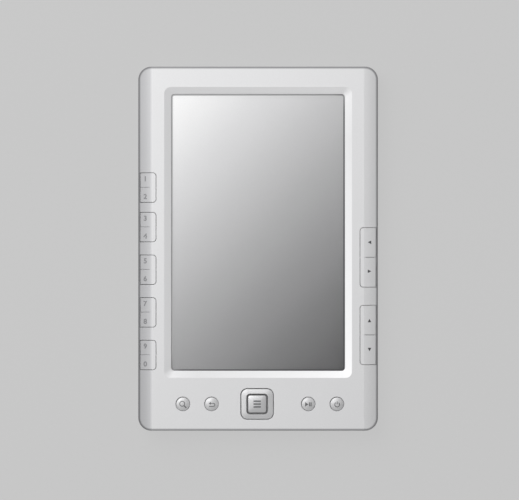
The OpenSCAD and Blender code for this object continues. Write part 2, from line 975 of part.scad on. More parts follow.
// Headphone socket: round nose in the wall, body sunk in the board, open bore
module headphone_jack() {
    color(black)
    difference() {
        union() {
            bar_y(jack_x, bottom_y + jack_nose_in, jack_z, jack_nose_r,
                jack_body_in - jack_nose_in + over / 2);
            block(jack_x, bottom_y + (jack_body_in + jack_end_in) / 2, jack_body_w,
                jack_end_in - jack_body_in, jack_z - jack_body_h / 2, jack_z + jack_body_h / 2);
        }
        bar_y(jack_x, bottom_y + jack_nose_in - over, jack_z, jack_d / 2,
            jack_end_in - jack_nose_in + 2 * over);
    }
}

// Folded steel cover of the card socket
module card_shell() {
    y = bottom_y + card_in + card_len / 2;
    z0 = card_z - card_shell_h / 2;
    z1 = card_z + card_shell_h / 2;
    color(steel)
    difference() {
        block(card_x, y, card_shell_w, card_len, z0, z1);
        block(card_x, y, card_shell_w - 2 * card_skin, card_len + 2 * over, z0 + card_skin, z1 - card_skin);
    }
}

// Moulded tray with two side rails and a rear stop
module card_base() {
    w = card_shell_w - 2 * (card_skin + card_slack);
    y = bottom_y + card_in + card_len / 2;
    z0 = card_z - card_shell_h / 2 + card_skin;
    z1 = card_z + card_shell_h / 2 - card_skin - card_slack;
    color(black)
    difference() {
        block(card_x, y, w, card_len, z0, z1);
        block(card_x, y - card_stop, w - 2 * card_rail, card_len, z0 + card_floor, z1 + over);
    }
}

// Slide switch housing with a slot for the knob's stem and a foot on the board
module slide_switch_body() {
    w = switch_w - 2 * switch_body_cut;
    slot = knob_stem_w + knob_travel + 2 * stem_gap;
    color(black)
    difference() {
        union() {
            block(switch_x, bottom_y + switch_body_in + switch_body_len / 2, w, switch_body_len,
                switch_body_low, switch_body_high);
            block(switch_x, bottom_y + switch_foot_in + switch_foot_len / 2, w, switch_foot_len, board_top,
                switch_body_high - over);
        }
        block(knob_x - knob_travel / 2, bottom_y + switch_body_in, slot, 2 * (knob_stem_len + stem_gap),
            switch_z - knob_stem_h / 2 - stem_gap, switch_z + knob_stem_h / 2 + stem_gap);
    }
}

// Side-pushed reset switch with a foot on the board
module reset_switch_body() {
    color(black)
    difference() {
        union() {
            block(reset_x, bottom_y + reset_body_in + reset_body_len / 2, reset_body_w, reset_body_len,
                reset_low, reset_high);
            block(reset_x, bottom_y + reset_body_in + reset_body_len, reset_body_w, reset_foot, board_top,
                reset_high);
        }
        bar_y(reset_x, bottom_y + reset_body_in - over, reset_z, reset_stem_r + pin_gap, reset_bore + over);
    }
}

// Board under the button row, with a tongue under the direction ring
module key_board() {
    x0 = button_xs[0] - key_board_side;
    x1 = button_xs[3] + key_board_side;
    color(board_green)
    difference() {
        union() {
            block((x0 + x1) / 2, row_y + (key_board_high - key_board_low) / 2, x1 - x0,
                key_board_high + key_board_low, key_board_z, key_board_top);
            block(nav_x, row_y - key_board_drop / 2, 2 * nav_board_half, key_board_drop, key_board_z,
                key_board_top);
        }
        for (s = [-1, 1])
            block(nav_x + s * (lug_out + lug_t / 2), row_y, lug_t + 2 * board_clear,
                2 * (lug_half + board_clear), key_board_z - over, key_board_top + over);
        at_key_board_screws()
            translate([0, 0, key_board_z - over])
                cylinder(r = small_screw_r + case_hole_gap, h = thin_board + 2 * over);
    }
}

// Snap dome standing on a board at height z
module dome(x, y, z) {
    translate([x, y, z])
        cylinder(r1 = dome_r, r2 = dome_top_r, h = dome_h);
}

module key_domes() {
    mid_w = (nav_w + menu_w) / 4;
    mid_h = (nav_h + menu_h) / 4;
    color(steel) {
        for (x = button_xs)
            dome(x, row_y, key_board_top);
        dome(nav_x, row_y, key_board_top);
        for (s = [-1, 1]) {
            dome(nav_x + s * mid_w, row_y, key_board_top);
            dome(nav_x, row_y + s * mid_h, key_board_top);
        }
    }
}

// Ribbon that folds from the button board down to the main board
module key_flex() {
    y0 = row_y + key_post_up;
    y1 = row_y + key_board_high + flex_t;
    y2 = key_conn_y + conn_h / 2;
    z0 = key_board_z - flex_t;
    z1 = board_top + conn_t / 4;
    color(amber)
    along_x(key_conn_x, key_conn_w - 2 * flex_edge)
        polygon([[y0, key_board_z], [y1 + flex_t, key_board_z], [y1 + flex_t, z1], [y2, z1],
            [y2, z1 + flex_t], [y1, z1 + flex_t], [y1, z0], [y0, z0]]);
}

// Board strip under the keys of the left edge
module side_board(ys, len, posts) {
    y0 = min(concat(ys, posts)) - len / 2;
    y1 = max(ys[0] + len / 2, posts[0] + bracket_end / 2);
    color(board_green)
    difference() {
        block(-side_x + side_board_in + side_board_w / 2, (y0 + y1) / 2, side_board_w, y1 - y0,
            side_board_z, side_board_top);
        for (y = posts)
            translate([-side_x + post_in, y, side_board_z - over])
                cylinder(r = small_screw_r + case_hole_gap, h = thin_board + 2 * over);
    }
}

module side_domes(ys, offset_y) {
    color(steel)
    for (y = ys, s = [-1, 1])
        dome(-side_x + plunger_in, y + s * offset_y, side_board_top);
}

// Ladder frame on the left edge with two bored ears for each key's pin
module side_bracket(ys, len, posts) {
    y0 = min(concat(ys, posts)) - len / 2;
    y1 = max(ys[0] + len / 2, posts[0] + bracket_end / 2);
    x0 = -side_x + ear_in;
    color(white)
    difference() {
        union() {
            difference() {
                block(x0 + bracket_w / 2, (y0 + y1) / 2, bracket_w, y1 - y0, bracket_z,
                    bracket_z + bracket_t);
                for (y = ys)
                    block(x0 + bracket_w / 2, y, bracket_w - 2 * bracket_rail, len - 2 * bracket_bar,
                        bracket_z - over, bracket_z + over);
            }
            for (y = ys, x = [x0 + ear_t / 2, x0 + bracket_w - ear_t / 2])
                block(x, y, ear_t, 2 * ear_half, bracket_z, pivot_z + ear_up);
            for (y = posts)
                translate([-side_x + post_in, y, side_board_top])
                    cylinder(r = post_r, h = bracket_z - side_board_top + bracket_t);
        }
        for (y = ys)
            bar_x(x0 - over, y, pivot_z, pivot_r + pin_gap, bracket_w + 2 * over);
        for (y = posts)
            translate([-side_x + post_in, y, side_board_top - over])
                cylinder(r = small_screw_r + case_hole_gap, h = body_t);
    }
}

// Ribbon from the left board strip to the main board
module side_flex() {
    x0 = -side_x + side_board_in + side_board_w / 2;
    x1 = -board_half - flex_t;
    x2 = -side_conn_x;
    z0 = side_board_z - flex_t;
    z1 = board_top + low_conn_t / 2;
    color(amber)
    along_y(0, side_conn_y - side_conn_w / 2 + flex_edge, 0, side_conn_w - 2 * flex_edge)
        polygon([[x0, side_board_z], [x1 + flex_t, side_board_z], [x1 + flex_t, z1 + flex_t],
            [x2, z1 + flex_t], [x2, z1], [x1, z1], [x1, z0], [x0, z0]]);
}

module left_key_board() {
    side_board(number_ys, number_len, number_posts);
}

module left_domes() {
    side_domes(number_ys, number_plunger);
}

module left_key_bracket() {
    side_bracket(number_ys, number_len, number_posts);
}

module left_key_flex() {
    side_flex();
}

module right_key_board() {
    mirror([1, 0, 0])
        side_board(long_ys, long_len, long_posts);
}

module right_domes() {
    mirror([1, 0, 0])
        side_domes(long_ys, long_plunger);
}

module right_key_bracket() {
    mirror([1, 0, 0])
        side_bracket(long_ys, long_len, long_posts);
}

module right_key_flex() {
    mirror([1, 0, 0])
        side_flex();
}

// Rocking key on the left edge: curved cap with a dividing groove, pivot pin on a web, two plungers
module rocker(y, len, groove, plunger, tilt) {
    x0 = -side_x + ear_in;
    foot = side_board_top + dome_h + dome_clear + plunger * sin(tilt);
    color(key_silver)
    union() {
        difference() {
            side_plan(y, len, key_gap, cap_r, cap_z, front_z + key_proud);
            left_round_waste(front_curve_w, front_r, front_z + key_proud);
            intersection() {
                block(-side_x + groove / 2, y, groove, groove_w, cap_z, front_z + over);
                left_round_waste(front_curve_w, front_r, front_z + key_proud - groove_depth);
            }
        }
        block(-side_x + (web_in + key_reach - key_gap) / 2, y, key_reach - key_gap - web_in, web_t, pivot_z,
            cap_z + key_gap);
        bar_x(x0, y, pivot_z, pivot_r, bracket_w);
        for (s = [-1, 1])
            translate([-side_x + plunger_in, y + s * plunger, foot])
                cylinder(r = plunger_r, h = cap_z - foot + key_gap);
    }
}

module number_key(i) {
    rocker(number_ys[i], number_len, number_groove, number_plunger, number_tilt);
}

module number_key_1() {
    number_key(0);
}

module number_key_2() {
    number_key(1);
}

module number_key_3() {
    number_key(2);
}

module number_key_4() {
    number_key(3);
}

module number_key_5() {
    number_key(4);
}

module long_key(i) {
    mirror([1, 0, 0])
        rocker(long_ys[i], long_len, long_groove, long_plunger, long_tilt);
}

module page_key() {
    long_key(0);
}

module scroll_key() {
    long_key(1);
}

// Domed round button held behind the front wall by its flange
module round_button(i) {
    top = front_under - hang_gap;
    stem_z = row_dome_top + button_travel + dome_clear;
    crown = front_z + button_crown;
    color(key_silver)
    translate([button_xs[i], row_y, 0])
        union() {
            intersection() {
                translate([0, 0, top - button_flange_t])
                    cylinder(r = button_r, h = crown - top + button_flange_t);
                translate([0, 0, crown - button_ball])
                    sphere(button_ball);
            }
            translate([0, 0, top - button_flange_t])
                cylinder(r = button_r + button_flange, h = button_flange_t);
            translate([0, 0, stem_z])
                cylinder(r = button_stem_r, h = top - stem_z);
        }
}

module search_button() {
    round_button(0);
}

module back_button() {
    round_button(1);
}

module play_button() {
    round_button(2);
}

module power_button() {
    round_button(3);
}

// Pad that carries the direction ring: cross pins in the front cover's lugs, cradles for the ring
module nav_pad() {
    w = nav_w + 2 * (nav_flange - pad_margin) - 2 * nav_gap;
    h = nav_h + 2 * (nav_flange - pad_margin) - 2 * nav_gap;
    color(black)
    translate([nav_x, row_y, 0])
        difference() {
            union() {
                difference() {
                    rounded_plate(w, h, pad_r, pad_z, pad_z + pad_t);
                    block(0, 0, menu_w + 2 * menu_flange + pad_hole, menu_h + 2 * menu_flange + pad_hole,
                        pad_z - over, pad_z + over);
                }
                for (s = [-1, 1])
                    block(0, s * ridge_out, 2 * cradle_half, ridge_len, pad_z, nav_under - cradle_drop);
                for (s = [0, 1])
                    mirror([s, 0, 0])
                        bar_x(w / 2 - over / 2, 0, pad_pin_z, pad_pin_r, lug_out + lug_t - w / 2 + over / 2);
            }
            bar_y(0, -nav_h, nav_under, ridge_r + pin_gap, 2 * nav_h);
        }
}

// Square direction ring that slopes out from the middle key, on two ridges
module nav_ring() {
    w = nav_w - 2 * nav_gap;
    h = nav_h - 2 * nav_gap;
    r = nav_r - nav_gap;
    color(key_silver)
    translate([nav_x, row_y, 0])
        union() {
            difference() {
                union() {
                    hull() {
                        for (sx = [-1, 1], sy = [-1, 1]) {
                            translate([sx * (w / 2 - r), sy * (h / 2 - r), nav_under])
                                cylinder(r = r, h = front_z - nav_edge_depth - nav_under, $fn = loft_fn);
                            translate([sx * (nav_hole_w / 2 + nav_land - menu_r),
                                    sy * (nav_hole_h / 2 + nav_land - menu_r), nav_under])
                                cylinder(r = menu_r, h = front_z + nav_crown - nav_under, $fn = loft_fn);
                        }
                    }
                    rounded_plate(w + 2 * nav_flange, h + 2 * nav_flange, r + nav_flange, nav_under,
                        nav_under + nav_flange_t);
                }
                rounded_plate(nav_hole_w, nav_hole_h, menu_r + nav_gap, nav_under - over, front_z + over);
            }
            for (s = [-1, 1])
                bar_y(0, s * ridge_out - ridge_len / 2, nav_under, ridge_r, ridge_len);
        }
}

// Middle key with a softly domed top, held under the ring by its flange
module menu_key() {
    crown = front_z + menu_crown;
    color(key_silver)
    translate([nav_x, row_y, 0])
        union() {
            intersection() {
                rounded_plate(menu_w, menu_h, menu_r, menu_flange_z, crown);
                translate([0, 0, crown - menu_ball])
                    sphere(menu_ball);
            }
            rounded_plate(menu_w + 2 * menu_flange, menu_h + 2 * menu_flange, menu_r + menu_flange,
                menu_flange_z, menu_flange_z + menu_flange_t);
        }
}

// Round-ended knob of the slide switch with its stem
module switch_knob() {
    h = switch_h - 2 * knob_side_gap;
    color(key_silver)
    union() {
        along_y(knob_x, bottom_y + knob_in, switch_z, knob_t)
            rounded_rect(knob_w, h, switch_r - knob_side_gap);
        block(knob_x, bottom_y + (knob_in + knob_t + switch_body_in + knob_stem_len) / 2 - over / 4,
            knob_stem_w, switch_body_in + knob_stem_len - knob_in - knob_t + over / 2,
            switch_z - knob_stem_h / 2, switch_z + knob_stem_h / 2);
    }
}

module reset_plunger() {
    color(white)
    bar_y(reset_x, bottom_y + reset_stem_in, reset_z, reset_stem_r, reset_stem_len);
}

front_cover();
back_cover();
display_window();
display_gasket();
lcd_frame();
lcd_glass();
backlight();
lcd_flex();
main_board();
processor();
memory_chips();
power_parts();
board_connectors();
board_screws();
battery();
battery_tape();
battery_leads();
usb_shell();
usb_tongue();
usb_contacts();
headphone_jack();
card_shell();
card_base();
slide_switch_body();
reset_switch_body();
key_board();
key_domes();
key_board_screws();
key_flex();
left_key_board();
left_domes();
left_key_bracket();
left_key_flex();
right_key_board();
right_domes();
right_key_bracket();
right_key_flex();
bracket_screws();
case_screws();
number_key_1();
number_key_2();
number_key_3();
number_key_4();
number_key_5();
page_key();
scroll_key();
search_button();
back_button();
play_button();
power_button();
nav_pad();
nav_ring();
menu_key();
switch_knob();
reset_plunger();
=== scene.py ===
import json
import math

import bmesh
import bpy
import numpy as np
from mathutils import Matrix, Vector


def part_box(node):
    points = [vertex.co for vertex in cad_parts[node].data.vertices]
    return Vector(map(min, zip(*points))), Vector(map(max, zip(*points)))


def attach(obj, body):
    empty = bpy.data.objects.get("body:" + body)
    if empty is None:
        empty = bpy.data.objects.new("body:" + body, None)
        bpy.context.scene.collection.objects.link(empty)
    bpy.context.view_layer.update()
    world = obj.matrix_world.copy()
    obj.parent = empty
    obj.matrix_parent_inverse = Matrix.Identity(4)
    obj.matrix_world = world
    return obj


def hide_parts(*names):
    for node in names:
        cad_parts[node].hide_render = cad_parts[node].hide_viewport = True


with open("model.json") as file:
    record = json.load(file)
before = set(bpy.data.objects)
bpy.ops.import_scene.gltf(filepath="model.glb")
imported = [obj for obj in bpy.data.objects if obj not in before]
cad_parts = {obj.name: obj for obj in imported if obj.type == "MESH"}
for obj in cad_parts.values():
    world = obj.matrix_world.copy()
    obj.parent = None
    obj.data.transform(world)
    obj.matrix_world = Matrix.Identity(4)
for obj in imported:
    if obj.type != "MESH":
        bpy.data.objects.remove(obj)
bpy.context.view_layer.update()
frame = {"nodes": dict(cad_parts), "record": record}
nodes = frame["nodes"]
record = frame["record"]
scene = bpy.context.scene
mm = 0.001
slotOf = {part["node"]: part["material_slot"] for part in record["subparts"]}
bodyOf = {node: body for body, members in record["behaviour"]["bodies"].items() for node in members}
print("frame loaded:", len(nodes), "nodes")


def linear(hexText):
    # sRGB hex to linear RGBA
    c = np.array([int(hexText[i:i + 2], 16) for i in (1, 3, 5)]) / 255
    c = np.where(c <= 0.04045, c / 12.92, ((c + 0.055) / 1.055) ** 2.4)
    return (*c.tolist(), 1.0)


def addNode(tree, kind, settings=None, links=None):
    # settings are properties, socket values or a ramp's steps, links are the sockets that feed this node
    node = tree.nodes.new(kind)
    for key, value in (settings or {}).items():
        if key == "steps":
            while len(node.color_ramp.elements) < len(value):
                node.color_ramp.elements.new(0.5)
            for element, (position, tone) in zip(node.color_ramp.elements, value):
                element.position = position
                element.color = linear(tone)
        elif isinstance(key, str) and hasattr(node, key):
            setattr(node, key, value)
        else:
            node.inputs[key].default_value = value
    for key, socket in (links or {}).items():
        tree.links.new(socket, node.inputs[key])
    return node


def newMaterial(name, **sockets):
    mat = bpy.data.materials.new(name)
    mat.use_nodes = True
    shader = mat.node_tree.nodes["Principled BSDF"]
    for key, value in sockets.items():
        shader.inputs[key.replace("_", " ")].default_value = value
    return mat, mat.node_tree, shader


def feed(tree, shader, **links):
    for key, socket in links.items():
        tree.links.new(socket, shader.inputs[key.replace("_", " ")])


def arrayOf(collection, name, width, kind=float):
    out = np.zeros(len(collection) * width, kind)
    collection.foreach_get(name, out)
    return out.reshape(-1, width) if width > 1 else out


def middleOf(node):
    # the middle of a node's box at rest
    return [(low + high) / 2 for low, high in zip(*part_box(node))]


def addPiece(name, mesh, body):
    piece = bpy.data.objects.new(name, mesh)
    scene.collection.objects.link(piece)
    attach(piece, body)
    return piece


# shape of the front, shared by the paint, the softened covers and the prints
front = dict(
    top=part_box("front_cover")[1].z,
    half=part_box("front_cover")[1].x,
    bottom=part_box("back_cover")[0].y,
    corner=7 * mm,
    curveWidth=7.6 * mm,   # curved band along each long edge
    curveDrop=2.2 * mm,
    crease=math.radians(8),
    keyProud=0.15 * mm,
    grooveDepth=0.35 * mm,
    windowHalf=(47.25 * mm, 75.3 * mm),
    windowY=8.8 * mm,
    windowCorner=1.8 * mm,
    bevelWidth=3.8 * mm,
)
front["creaseX"] = front["half"] - front["curveWidth"]
bandSlope = math.atan(front["curveDrop"] / front["curveWidth"])
bandChord = math.hypot(front["curveWidth"], front["curveDrop"])
front["radius"] = bandChord / (2 * math.sin(bandSlope - front["crease"]))


def frontHeight(x, y):
    # flat level, then an arc from the crease down to the long edge
    r = front["radius"]
    over = np.maximum(np.abs(x) - front["creaseX"], 0)
    arc = np.sqrt(r ** 2 - (over + r * math.sin(front["crease"])) ** 2) - r * math.cos(front["crease"])
    return front["top"] + np.where(over > 0, arc, 0)


# materials
noiseRange = (0.3, 0.7)   # most of a noise's values lie between these
times = {"data_type": "RGBA", "blend_type": "MULTIPLY", 0: 1.0}   # a Mix that multiplies colours 6 and 7


def mottle(tree, place, size, detail, middle, reach):
    # noise in patches of about that size in metres, and the same noise taken to a middle value, more or
    # less that reach
    low, high = noiseRange
    patches = addNode(tree, "ShaderNodeTexNoise", {"Scale": 1 / size, "Detail": detail}, {"Vector": place})
    value = addNode(tree, "ShaderNodeMapRange",
                    {"From Min": low, "From Max": high, "To Min": middle - reach, "To Max": middle + reach},
                    {"Value": patches.outputs["Fac"]})
    return patches.outputs["Fac"], value.outputs["Result"]


def silverPaint(name, spec, zone=None):
    # metallic spray paint on moulded ABS: fine flake, soft orange peel, no grain direction
    mat, tree, shader = newMaterial(name, Metallic=spec["metallic"], IOR=1.5,
                                    Specular_IOR_Level=spec["shine"])
    place = addNode(tree, "ShaderNodeTexCoord").outputs["Object"]
    # flake is about 0.05 mm, drawn at 0.7 mm so that it shows
    speck = mottle(tree, place, spec["flake"], detail=3.0, middle=1, reach=spec["speck"])[1]
    colour = addNode(tree, "ShaderNodeMix", {**times, 6: linear(spec["colour"])}, {7: speck}).outputs[2]
    if zone:
        colour = zone(tree, place, colour)
    rough = mottle(tree, place, spec["cloud"], detail=1.0, middle=spec["rough"], reach=spec["roughReach"])[1]
    peel = addNode(tree, "ShaderNodeTexNoise", {"Scale": 1 / spec["peel"], "Detail": 1.0}, {"Vector": place})
    bump = addNode(tree, "ShaderNodeBump", {"Strength": spec["bump"], "Distance": spec["peelDeep"]},
                   {"Height": peel.outputs["Fac"]})
    feed(tree, shader, Base_Color=colour, Roughness=rough, Normal=bump.outputs["Normal"])
    return mat


# painted shade on the left band: its tone at shares of the way from the crease to the long edge
bandShadeSteps = [(0.0, "#FFFFFF"), (0.03, "#EEEEEF"), (0.16, "#DADADB"),
             (0.45, "#CBCBCC"), (0.74, "#C2C2C3"), (1.0, "#BCBCBD")]


def bandZone(tree, place, colour):
    # painted shade: the left band's tone falls off quickly past the crease, then slowly to the edge
    x = addNode(tree, "ShaderNodeSeparateXYZ", None, {0: place}).outputs["X"]
    out = addNode(tree, "ShaderNodeMapRange",
                  {"From Min": -front["creaseX"], "From Max": -front["half"]}, {"Value": x})
    tone = addNode(tree, "ShaderNodeValToRGB", {"steps": bandShadeSteps}, {0: out.outputs["Result"]})
    return addNode(tree, "ShaderNodeMix", times, {6: colour, 7: tone.outputs["Color"]}).outputs[2]


# painted shade along the body's outline, where the rounded edge turns away from the light
outlineShade = dict(tone="#A8A8A9", full=0.5 * mm, none=1.5 * mm)


def frontZone(tree, place, colour):
    # painted shade on the band, then along the body's outline, darker near the edge and fading inwards
    colour = bandZone(tree, place, colour)
    corner = front["corner"]
    steps = [("MULTIPLY", (1, 1, 0)), ("ABSOLUTE", (0, 0, 0)),
             ("SUBTRACT", (front["half"] - corner, -front["bottom"] - corner, 0)), ("MAXIMUM", (0, 0, 0))]
    over = place
    for operation, other in steps:
        step = addNode(tree, "ShaderNodeVectorMath", {"operation": operation, 1: other}, {0: over})
        over = step.outputs[0]
    reach = addNode(tree, "ShaderNodeVectorMath", {"operation": "LENGTH"}, {0: over}).outputs["Value"]
    mask = addNode(tree, "ShaderNodeMapRange",
                   {"From Min": corner - outlineShade["none"], "From Max": corner - outlineShade["full"],
                    "interpolation_type": "SMOOTHSTEP"}, {"Value": reach})
    return addNode(tree, "ShaderNodeMix", {**times, 7: linear(outlineShade["tone"])},
                   {0: mask.outputs["Result"], 6: colour}).outputs[2]


paintSpec = dict(colour="#D8D8D9", metallic=0.03, rough=0.45, roughReach=0.04, shine=0.2, speck=0.012,
                 flake=0.7 * mm, cloud=30 * mm, peel=1.6 * mm, peelDeep=0.02 * mm, bump=0.12)
# the front's paint carries the painted shade of the left band and the outline
bodyPaint = silverPaint("silver spray paint on ABS", paintSpec, frontZone)
backPaint = silverPaint("silver spray paint on ABS, back", paintSpec)
# the same paint where it is polished: a clear highlight from its gloss on the small buttons; greyer, duller
# tones on rims, round the middle key and in grooves, which are painted shade
brightSpec = dict(paintSpec, shine=0.5)
buttonPaint = silverPaint("polished silver paint",
                          dict(brightSpec, colour="#C4C4C5", metallic=0.12, rough=0.4))
ringPaint = silverPaint("bright silver paint, ring", dict(brightSpec, colour="#C5C5C6", metallic=0.25))
grooveShadePaint = silverPaint("silver paint, painted shade in a groove", dict(paintSpec, colour="#A6A6A7", rough=0.5))
rimShadePaint = silverPaint("polished silver paint, painted shade on the rim", dict(paintSpec, colour="#B0B0B1", rough=0.5))
ringRimShadePaint = silverPaint("silver paint, painted shade on the ring's rim", dict(paintSpec, colour="#8C8C8D", rough=0.5))
frameShadePaint = silverPaint("grey paint, painted shade round the middle key", dict(paintSpec, colour="#868687", rough=0.6))
menuPaint = silverPaint("bright silver paint", dict(brightSpec, colour="#C0C0C1", metallic=0.6, rough=0.38))

toneReach = 0.008   # how far the grain takes a tone up or down


def diagonalTone(tree, place, spec):
    # painted light and shade: a tone by the run from the display's top left corner towards its bottom right
    # one
    axes = addNode(tree, "ShaderNodeSeparateXYZ", None, {0: place})
    (halfX, halfY), y = front["windowHalf"], front["windowY"]
    runs = [("X", -halfX, halfX, spec["across"]), ("Y", y + halfY, y - halfY, 1 - spec["across"])]
    shares = []
    for axis, start, stop, share in runs:
        part = addNode(tree, "ShaderNodeMapRange", {"From Min": start, "From Max": stop, "To Max": share},
                       {"Value": axes.outputs[axis]})
        shares.append(part.outputs["Result"])
    run = addNode(tree, "ShaderNodeMath", {"operation": "ADD"}, dict(enumerate(shares)))
    colour = addNode(tree, "ShaderNodeValToRGB", {"steps": spec["steps"]}, {0: run.outputs[0]})
    level = mottle(tree, place, spec["grain"], detail=1.0, middle=1, reach=toneReach)[1]
    return addNode(tree, "ShaderNodeMix", times, {6: colour.outputs["Color"], 7: level}).outputs[2]


# the cell's glow in tones along the diagonal, white at the top left: a painted reflection
displaySpec = dict(
    base="#383838", rough=0.3, shine=0.1, glow=1.0, across=0.39, grain=0.6 * mm,
    steps=[(0.0, "#F7F7F7"), (0.2, "#D5D5D6"), (0.36, "#BCBCBD"), (0.5, "#A5A5A6"), (0.65, "#8C8C8D"),
           (0.8, "#717172"), (1.0, "#464647")],
)


def displayCell(spec):
    # liquid crystal cell with its lamp on; its grey that darkens across the diagonal is a painted reflection
    mat, tree, shader = newMaterial("lit display cell, painted reflection", Base_Color=linear(spec["base"]),
                                    Roughness=spec["rough"], Specular_IOR_Level=spec["shine"],
                                    Emission_Strength=spec["glow"])
    place = addNode(tree, "ShaderNodeTexCoord").outputs["Object"]
    feed(tree, shader, Emission_Color=diagonalTone(tree, place, spec))
    return mat


# painted light and shade on the slope down to the display: darker on the top and left, lighter on the right
# and bottom
slopeLightShadeSpec = dict(
    across=0.5, grain=0.7 * mm,
    steps=[(0.0, "#D5D5D6"), (0.47, "#DEDEDF"), (0.58, "#D5D5D6"), (0.92, "#ECECED"), (1.0, "#F3F3F4")],
)
slopeLightShadePaint = silverPaint("silver spray paint, display slope", dict(paintSpec, rough=0.5),
                         lambda tree, place, colour: diagonalTone(tree, place, slopeLightShadeSpec))


# painted light and shade in the border's tones: lighter at the top left, darker at the bottom right
borderSpec = dict(   # under is its run below the cover, least its inner corner's radius
    width=0.9 * mm, under=0.02 * mm, least=0.9 * mm, rough=0.5, across=0.5, grain=0.3 * mm,
    steps=[(0.0, "#B4B4B5"), (0.47, "#A4A4A5"), (0.53, "#606062"), (1.0, "#3C3C3F")],
)


def borderInk(spec):
    # screen-printed grey line on the panel, a little glossy, with painted light and shade along the diagonal
    mat, tree, shader = newMaterial("screen-printed border, painted light and shade", Roughness=spec["rough"])
    place = addNode(tree, "ShaderNodeTexCoord").outputs["Object"]
    feed(tree, shader, Base_Color=diagonalTone(tree, place, spec))
    return mat


panelSpec = dict(colour="#FFFFFF", index=1.1, rough=0.035, roughReach=0.015, wave=25 * mm)


def clearAcrylic(spec):
    # cast acrylic panel with an anti-reflection coat, which mirrors as little as a low index does: clear,
    # polished, with the faintest waviness
    mat, tree, shader = newMaterial("coated clear acrylic", Base_Color=linear(spec["colour"]),
                                    IOR=spec["index"], Transmission_Weight=1.0)
    place = addNode(tree, "ShaderNodeTexCoord").outputs["Object"]
    rough = mottle(tree, place, spec["wave"], detail=2.0, middle=spec["rough"], reach=spec["roughReach"])[1]
    feed(tree, shader, Roughness=rough)
    return mat


grainSpec = dict(detail=4.0, bump=0.3, glossReach=0.03)


def grainedFinish(name, colour, shade, rough, metallic, grain, depth, stretch=(1, 1, 1)):
    # two tones of one colour in a grain of that size, with the same grain in the bump and the gloss
    mat, tree, shader = newMaterial(name, Metallic=metallic)
    place = addNode(tree, "ShaderNodeTexCoord").outputs["Object"]
    turn = addNode(tree, "ShaderNodeMapping", {"Scale": stretch}, {"Vector": place})
    fac, gloss = mottle(tree, turn.outputs["Vector"], grain * mm, detail=grainSpec["detail"],
                        middle=rough, reach=grainSpec["glossReach"])
    tones = {"data_type": "RGBA", 6: linear(colour), 7: linear(shade)}
    tone = addNode(tree, "ShaderNodeMix", tones, {0: fac}).outputs[2]
    bump = addNode(tree, "ShaderNodeBump", {"Strength": grainSpec["bump"], "Distance": depth * mm},
                   {"Height": fac})
    feed(tree, shader, Base_Color=tone, Roughness=gloss, Normal=bump.outputs["Normal"])
    return mat


# two tones, roughness and metallic, then grain and bump depth in millimetres; a grain too fine to show is
# drawn at about 0.3 mm
finishes = dict(
    # metals: bright, with a lay where the sheet was rolled and a soft mottle where it was plated
    sheet_steel=grainedFinish("rolled steel sheet", "#B9BBBE", "#A5A7AA", 0.3, 1.0, 0.5, 0.01, (1, 0.1, 1)),
    zinc_screw=grainedFinish("zinc plated steel", "#B4B6BA", "#94969B", 0.32, 1.0, 0.4, 0.01),
    gold_contact=grainedFinish("gold flashed strip", "#E0BE6A", "#CBA550", 0.3, 1.0, 0.3, 0.004),
    battery_pouch=grainedFinish("laminated foil", "#BCBEC1", "#A9ABAE", 0.38, 0.8, 2.5, 0.04),
    # moulded or pressed: even, with a faint bloom from the mould
    diffuser_plastic=grainedFinish("white acrylic diffuser", "#F0F0EC", "#E6E6E2", 0.5, 0.0, 0.6, 0.01),
    black_resin=grainedFinish("moulded black resin", "#161617", "#0D0D0E", 0.55, 0.0, 0.3, 0.01),
    white_nylon=grainedFinish("moulded nylon", "#E8E6DF", "#DAD8D0", 0.55, 0.0, 0.8, 0.01),
    ferrite=grainedFinish("sintered ferrite", "#454548", "#333336", 0.7, 0.0, 0.3, 0.02),
    # film and boards: smooth and half glossy, with the cloth or film just showing
    amber_film=grainedFinish("polyimide film", "#C07A26", "#A8641C", 0.35, 0.0, 1.2, 0.005),
    circuit_board=grainedFinish("solder mask over glass cloth", "#1C5C3A", "#154A2E", 0.4, 0.0, 0.5, 0.01),
    # foam, tape and rubber: dull and slightly open
    black_foam=grainedFinish("closed-cell foam", "#1A1A1B", "#0E0E0F", 0.9, 0.0, 0.4, 0.08),
    tape=grainedFinish("adhesive foam tape", "#DAD9D0", "#CBCAC0", 0.85, 0.0, 0.5, 0.04),
    lead_sleeve=grainedFinish("insulated lead", "#2A1716", "#1C0F0E", 0.5, 0.0, 0.6, 0.01),
    silicone=grainedFinish("silicone rubber", "#4D4F51", "#434547", 0.65, 0.0, 0.5, 0.01),
    # painted, clear and lit pieces
    silver_painted_plastic=backPaint,
    silver_key_plastic=buttonPaint,
    clear_window_plastic=clearAcrylic(panelSpec),
    display_cell=displayCell(displaySpec),
)
# pad-printed ink: thin, matt and nearly even, with a fine mottle
greyInk = grainedFinish("pad-printed grey ink", "#5A5A5C", "#666668", 0.6, 0.0, 0.25, 0.004)
paleInk = grainedFinish("pad-printed pale grey ink", "#6E6E70", "#7A7A7C", 0.6, 0.0, 0.25, 0.004)
darkInk = grainedFinish("pad-printed dark ink", "#3A3A3C", "#454547", 0.6, 0.0, 0.25, 0.004)
for node, slot in slotOf.items():
    mesh = nodes[node].data
    mesh.materials.clear()
    mesh.materials.append(finishes[slot])
print("materials set on", len(slotOf), "nodes")


# covers and keys: merged copies of the nodes with small rounds on their upper rims
facing = dict(up=0.7, floor=0.5, wall=0.3, level=0.99)   # limits on the z of a face's normal


